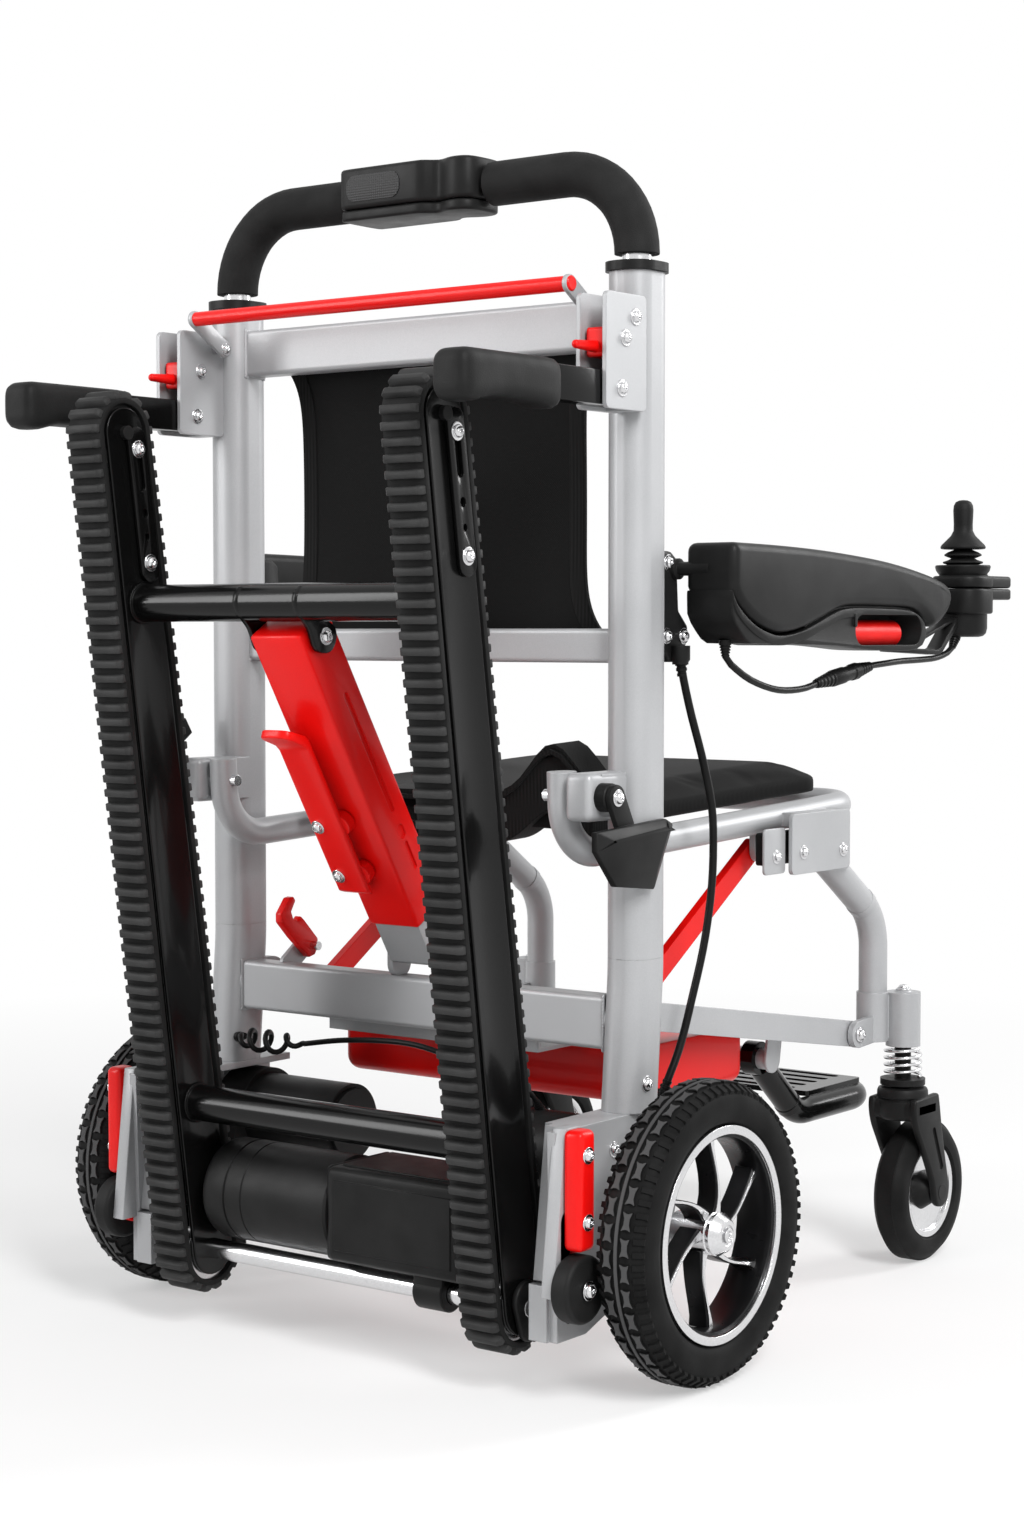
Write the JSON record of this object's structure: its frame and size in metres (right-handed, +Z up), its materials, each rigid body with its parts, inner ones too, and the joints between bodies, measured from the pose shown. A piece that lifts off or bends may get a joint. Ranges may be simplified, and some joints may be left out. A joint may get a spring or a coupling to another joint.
{
  "type": "stair_climbing_wheelchair",
  "caption": "Folding powered wheelchair with silver frame, red strut and a pair of black toothed stair climbing tracks behind the seat",
  "frame": {"origin": "on the floor under the middle of the whole", "axes": "+X is the sitter's right, +Y is forward, +Z is up"},
  "size_m": [0.65, 0.838, 1.033],
  "materials": {
    "silver_paint": "satin silver grey powder coat",
    "red_paint": "glossy red paint",
    "red_plastic": "smooth moulded red",
    "black_gloss": "gloss black paint",
    "black_plastic": "fine grained moulding",
    "black_fabric": "close woven cloth with stitched hems",
    "black_rubber": "matt",
    "tyre_rubber": "matt moulded tread",
    "bright_steel": "polished and ground steel",
    "cast_aluminium": "black coated casting with machined edges"
  },
  "bodies": {
    "frame": {"uprights": "silver_paint", "crossbars": "silver_paint", "upright_collars": "black_plastic", "lift_brackets": "silver_paint", "wheel_brackets": "silver_paint", "roller_arms": "red_paint", "belt_stalks": "black_plastic", "armrest_brackets": "black_plastic", "backrest_sling": "black_fabric", "battery_box": "red_paint", "drive_gearmotors": "black_gloss", "pivot_pins": "bright_steel", "armrest_cable": "black_rubber", "power_lead": "black_rubber"},
    "wheel_left": {"tyre_left": "tyre_rubber", "rim_left": "cast_aluminium"},
    "wheel_right": {"tyre_right": "tyre_rubber", "rim_right": "cast_aluminium"},
    "rollers": {"stair_rollers": "black_rubber"},
    "seat": {"seat_frame": "silver_paint", "seat_cushion": "black_fabric"},
    "brace_pair": {"braces": "red_paint"},
    "rails": {"side_rails": "silver_paint"},
    "legs": {"front_legs": "silver_paint", "caster_spring_left": "bright_steel", "caster_spring_right": "bright_steel"},
    "foot": {"footrest": "black_gloss"},
    "stem_left": {"caster_stem_left": "black_plastic"},
    "fork_left": {"caster_fork_left": "black_plastic"},
    "front_wheel_left": {"caster_wheel_left": "tyre_rubber"},
    "stem_right": {"caster_stem_right": "black_plastic"},
    "fork_right": {"caster_fork_right": "black_plastic"},
    "front_wheel_right": {"caster_wheel_right": "tyre_rubber"},
    "handle": {"handle_tube": "bright_steel", "handle_foam": "black_rubber", "control_case": "black_plastic"},
    "rocker": {"climb_switch": "red_plastic"},
    "release": {"release_bar": "red_paint"},
    "latches": {"latch_levers": "red_plastic"},
    "lift_left": {"lift_handle_left": "black_rubber"},
    "lift_right": {"lift_handle_right": "black_rubber"},
    "arm_left": {"armrest_left": "black_plastic"},
    "arm_right": {"armrest_right": "black_plastic", "joystick_case": "black_plastic", "joystick_lead": "black_rubber"},
    "lever_left": {"armrest_lever_left": "red_plastic"},
    "lever_right": {"armrest_lever_right": "red_plastic"},
    "gimbal": {"joystick_gimbal": "bright_steel"},
    "stick": {"joystick_stick": "black_rubber"},
    "button": {"power_button": "red_plastic"},
    "track": {"track_beams": "black_gloss", "track_tubes": "black_gloss", "track_belts": "black_rubber", "climb_gearmotor": "black_gloss"},
    "shaft": {"drive_shaft": "bright_steel"},
    "idler_pair": {"idlers": "bright_steel"},
    "strut_low": {"strut_inner": "silver_paint"},
    "strut_top": {"strut_outer": "red_paint"},
    "strut_slide": {"strut_lever": "red_paint"},
    "hook": {"fold_hook": "red_paint"}
  },
  "joints": [
    {"name": "wheel_spin_left", "type": "hinge", "parent": "frame", "child": "wheel_left", "pos_m": [-0.298, -0.157, 0.127], "axis": [1, 0, 0], "continuous": true},
    {"name": "wheel_spin_right", "type": "hinge", "parent": "frame", "child": "wheel_right", "pos_m": [0.298, -0.157, 0.127], "axis": [1, 0, 0], "continuous": true},
    {"name": "roller_spin", "type": "hinge", "parent": "frame", "child": "rollers", "pos_m": [0, -0.278, 0.097], "axis": [1, 0, 0], "continuous": true},
    {"name": "seat_fold", "type": "hinge", "parent": "frame", "child": "seat", "pos_m": [0, -0.20931, 0.48786], "axis": [1, 0, 0], "range_deg": [0, 52]},
    {"name": "rail_fold", "type": "hinge", "parent": "frame", "child": "rails", "pos_m": [0, -0.12931, 0.29686], "axis": [1, 0, 0], "range_deg": [0, 52]},
    {"name": "leg_fold", "type": "hinge", "parent": "rails", "child": "legs", "pos_m": [0, 0.253, 0.234], "axis": [1, 0, 0], "range_deg": [-52, 0]},
    {"name": "brace_fold", "type": "hinge", "parent": "seat", "child": "brace_pair", "pos_m": [0, 0.115, 0.421], "axis": [1, 0, 0], "range_deg": [0, 6.5]},
    {"name": "footrest_flip", "type": "hinge", "parent": "rails", "child": "foot", "pos_m": [0, 0.141, 0.221], "axis": [1, 0, 0], "range_deg": [0, 25]},
    {"name": "climb_rocker", "type": "hinge", "parent": "handle", "child": "rocker", "pos_m": [0.05, -0.1535, 1.0285], "axis": [0, 1, 0], "range_deg": [-8, 8], "stiffness_Nm_per_rad": 0.1},
    {"name": "release_pull", "type": "hinge", "parent": "frame", "child": "release", "pos_m": [0, -0.187, 0.883], "axis": [1, 0, 0], "range_deg": [0, 25], "stiffness_Nm_per_rad": 1.2, "springref_deg": -28.65},
    {"name": "latch_lift", "type": "hinge", "parent": "frame", "child": "latches", "pos_m": [0, -0.205, 0.862], "axis": [1, 0, 0], "range_deg": [-20, 0], "stiffness_Nm_per_rad": 0.3, "springref_deg": 17.19},
    {"name": "lift_fold_left", "type": "hinge", "parent": "frame", "child": "lift_left", "pos_m": [-0.237, -0.21, 0.821], "axis": [1, 0, 0], "range_deg": [0, 85]},
    {"name": "lift_fold_right", "type": "hinge", "parent": "frame", "child": "lift_right", "pos_m": [0.237, -0.21, 0.821], "axis": [1, 0, 0], "range_deg": [0, 85]},
    {"name": "armrest_flip_left", "type": "hinge", "parent": "frame", "child": "arm_left", "pos_m": [-0.271, -0.104, 0.677], "axis": [1, 0, 0], "range_deg": [0, 80]},
    {"name": "armrest_flip_right", "type": "hinge", "parent": "frame", "child": "arm_right", "pos_m": [0.271, -0.104, 0.677], "axis": [1, 0, 0], "range_deg": [0, 80]},
    {"name": "arm_lever_left", "type": "hinge", "parent": "arm_left", "child": "lever_left", "pos_m": [-0.251, 0.166, 0.621], "axis": [0, 1, 0], "range_deg": [0, 6], "stiffness_Nm_per_rad": 0.6, "springref_deg": -6.88},
    {"name": "arm_lever_right", "type": "hinge", "parent": "arm_right", "child": "lever_right", "pos_m": [0.251, 0.166, 0.621], "axis": [0, -1, 0], "range_deg": [0, 6], "stiffness_Nm_per_rad": 0.6, "springref_deg": -6.88},
    {"name": "joystick_roll", "type": "hinge", "parent": "arm_right", "child": "gimbal", "pos_m": [0.265, 0.355, 0.683], "axis": [0, 1, 0], "range_deg": [-12, 12], "stiffness_Nm_per_rad": 0.4},
    {"name": "joystick_pitch", "type": "hinge", "parent": "gimbal", "child": "stick", "pos_m": [0.265, 0.355, 0.683], "axis": [1, 0, 0], "range_deg": [-12, 12], "stiffness_Nm_per_rad": 0.4},
    {"name": "power_press", "type": "slide", "parent": "arm_right", "child": "button", "axis": [0, 0, -1], "range_m": [0, 0.0015], "stiffness_N_per_m": 600, "springref_m": -0.001},
    {"name": "track_deploy", "type": "hinge", "parent": "frame", "child": "track", "pos_m": [0, -0.265, 0.07], "axis": [1, 0, 0], "range_deg": [0, 18]},
    {"name": "shaft_spin", "type": "hinge", "parent": "track", "child": "shaft", "pos_m": [0, -0.265, 0.07], "axis": [1, 0, 0], "continuous": true},
    {"name": "idler_spin", "type": "hinge", "parent": "track", "child": "idler_pair", "pos_m": [0, -0.368, 0.79371], "axis": [1, 0, 0], "continuous": true},
    {"name": "strut_swing", "type": "hinge", "parent": "frame", "child": "strut_low", "pos_m": [0, -0.156, 0.34], "axis": [1, 0, 0], "range_deg": [0, 24.5]},
    {"name": "strut_extend", "type": "slide", "parent": "strut_low", "child": "strut_top", "axis": [0, -0.5212, 0.8534], "range_m": [0, 0.09]},
    {"name": "strut_release", "type": "slide", "parent": "strut_top", "child": "strut_slide", "axis": [0, -0.5212, 0.8534], "range_m": [0, 0.012], "stiffness_N_per_m": 400, "springref_m": -0.02},
    {"name": "hook_swing", "type": "hinge", "parent": "frame", "child": "hook", "pos_m": [-0.163, -0.125, 0.33], "axis": [1, 0, 0], "range_deg": [0, 30], "stiffness_Nm_per_rad": 0.2, "springref_deg": -28.65},
    {"name": "handle_height", "type": "slide", "parent": "frame", "child": "handle", "axis": [0, 0, 1], "range_m": [0, 0.12]},
    {"name": "suspension_left", "type": "slide", "parent": "legs", "child": "stem_left", "axis": [0, 0, 1], "range_m": [0, 0.015], "stiffness_N_per_m": 10000, "springref_m": -0.012, "deforming": ["caster_spring_left"]},
    {"name": "swivel_left", "type": "hinge", "parent": "stem_left", "child": "fork_left", "pos_m": [-0.227, 0.311, 0.17], "axis": [0, 0, 1], "continuous": true},
    {"name": "front_spin_left", "type": "hinge", "parent": "fork_left", "child": "front_wheel_left", "pos_m": [-0.227, 0.345, 0.07], "axis": [1, 0, 0], "continuous": true},
    {"name": "suspension_right", "type": "slide", "parent": "legs", "child": "stem_right", "axis": [0, 0, 1], "range_m": [0, 0.015], "stiffness_N_per_m": 10000, "springref_m": -0.012, "deforming": ["caster_spring_right"]},
    {"name": "swivel_right", "type": "hinge", "parent": "stem_right", "child": "fork_right", "pos_m": [0.227, 0.311, 0.17], "axis": [0, 0, 1], "continuous": true},
    {"name": "front_spin_right", "type": "hinge", "parent": "fork_right", "child": "front_wheel_right", "pos_m": [0.227, 0.345, 0.07], "axis": [1, 0, 0], "continuous": true}
  ],
  "couplings": [
    {"joint": "rail_fold", "follows": "seat_fold", "ratio": 1},
    {"joint": "leg_fold", "follows": "seat_fold", "ratio": -1},
    {"joint": "brace_fold", "follows": "seat_fold", "ratio": 0.12327},
    {"joint": "idler_spin", "follows": "shaft_spin", "ratio": 1.16},
    {"joint": "strut_swing", "follows": "track_deploy", "ratio": 1.3275},
    {"joint": "strut_extend", "follows": "track_deploy", "m_per_rad": 0.26389}
  ]
}
